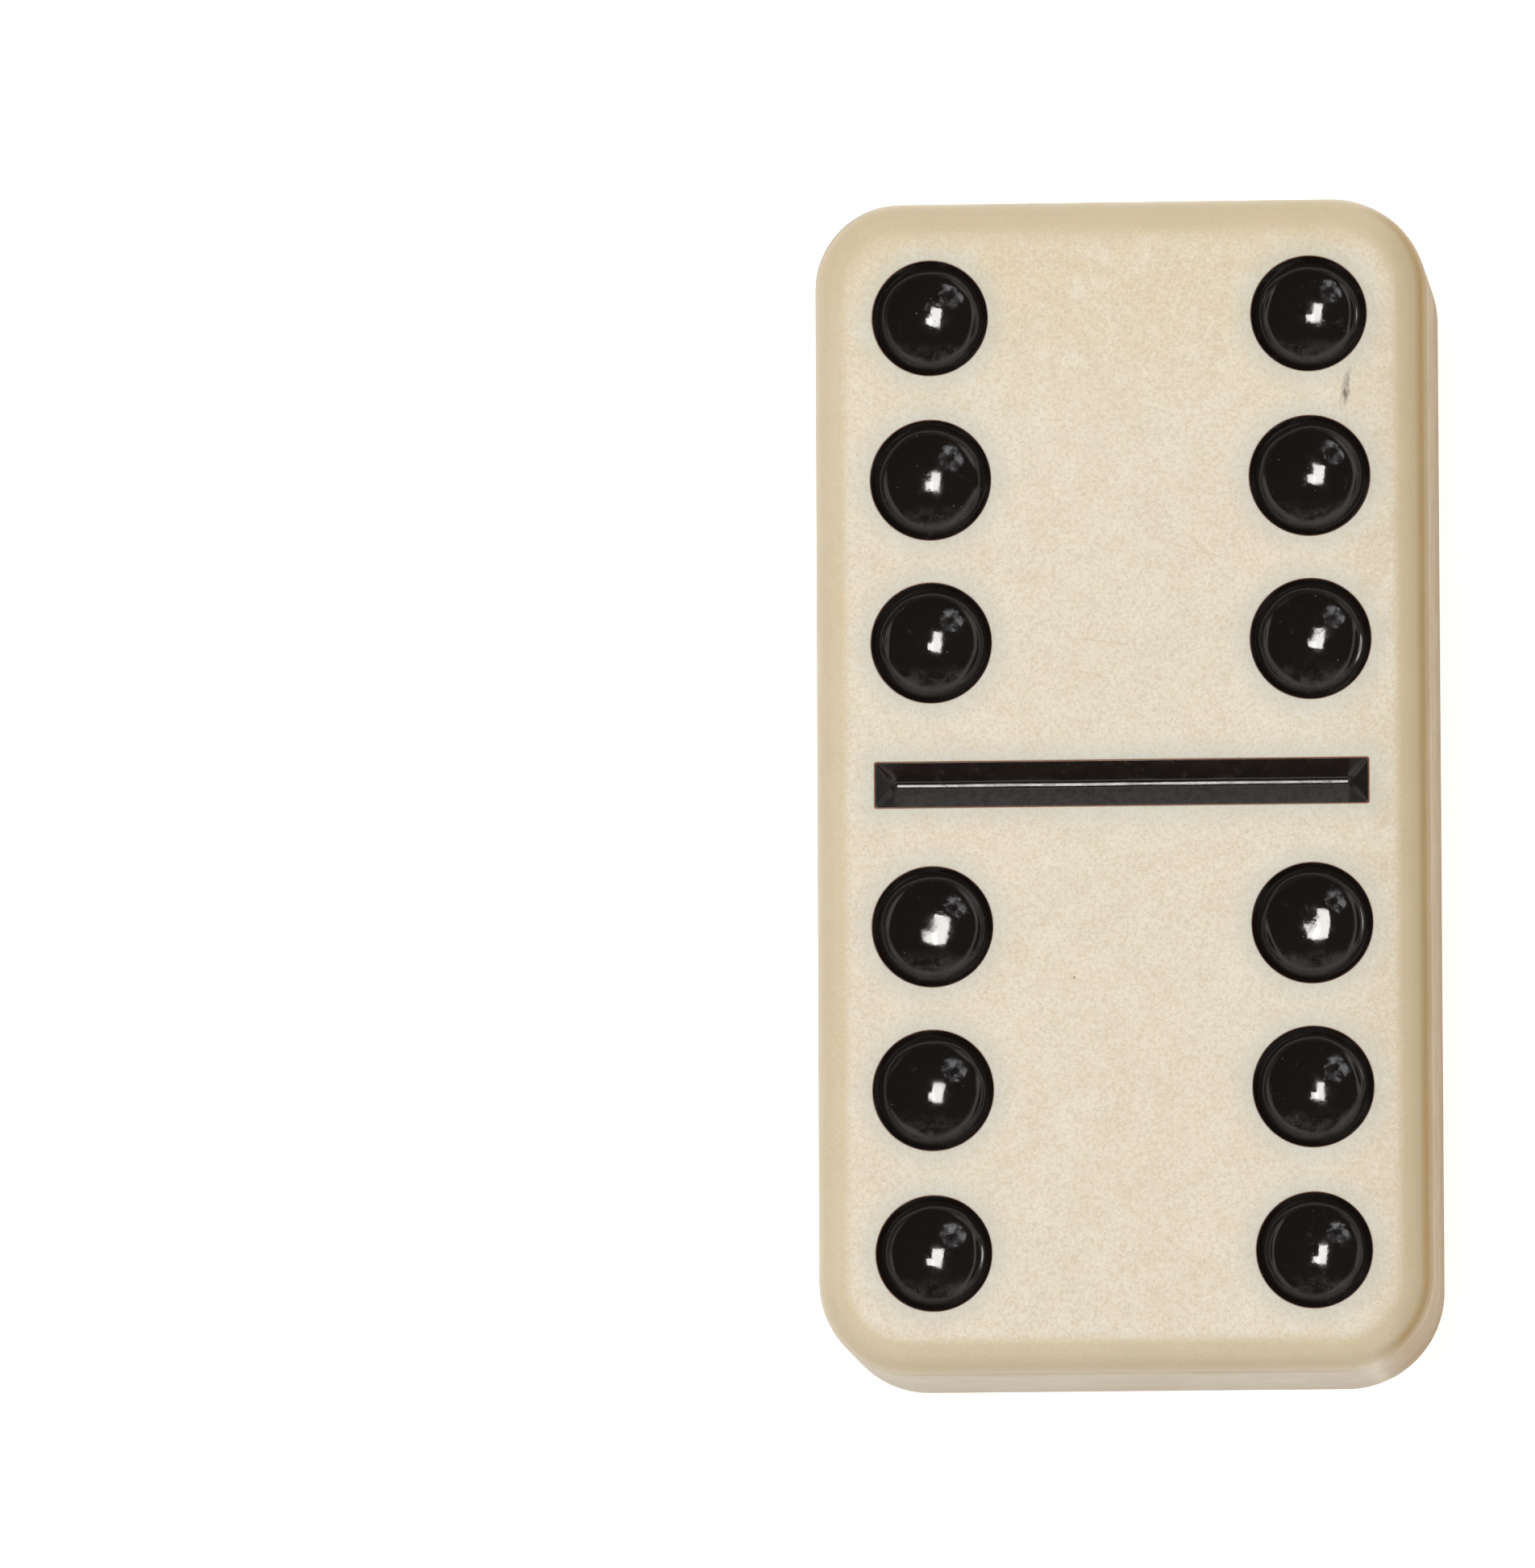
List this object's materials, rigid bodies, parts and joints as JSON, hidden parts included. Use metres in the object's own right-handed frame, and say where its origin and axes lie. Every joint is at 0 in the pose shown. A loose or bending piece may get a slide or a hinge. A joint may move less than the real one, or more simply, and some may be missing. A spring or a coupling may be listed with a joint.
{
  "type": "domino tile",
  "caption": "Double-six domino tile: cream moulded block with rolled edges, plain back, and black enamelled round pips and centre groove.",
  "frame": {"origin": "centre of the blank back face, which is the face the tile lies on", "axes": "+Z out of the numbered face, +Y along the long axis, +X across the tile along the divider groove"},
  "size_m": [0.025, 0.0478, 0.0125],
  "materials": {
    "tile": "cream moulded thermoset, satin on the lapped faces and glossier on the rolled edges",
    "enamel": "glossy black enamel"
  },
  "bodies": {
    "root": {"tile_body": "tile", "divider_enamel": "enamel", "pip_enamel_row1_left": "enamel", "pip_enamel_row1_right": "enamel", "pip_enamel_row2_left": "enamel", "pip_enamel_row2_right": "enamel", "pip_enamel_row3_left": "enamel", "pip_enamel_row3_right": "enamel", "pip_enamel_row4_left": "enamel", "pip_enamel_row4_right": "enamel", "pip_enamel_row5_left": "enamel", "pip_enamel_row5_right": "enamel", "pip_enamel_row6_left": "enamel", "pip_enamel_row6_right": "enamel"}
  },
  "joints": []
}
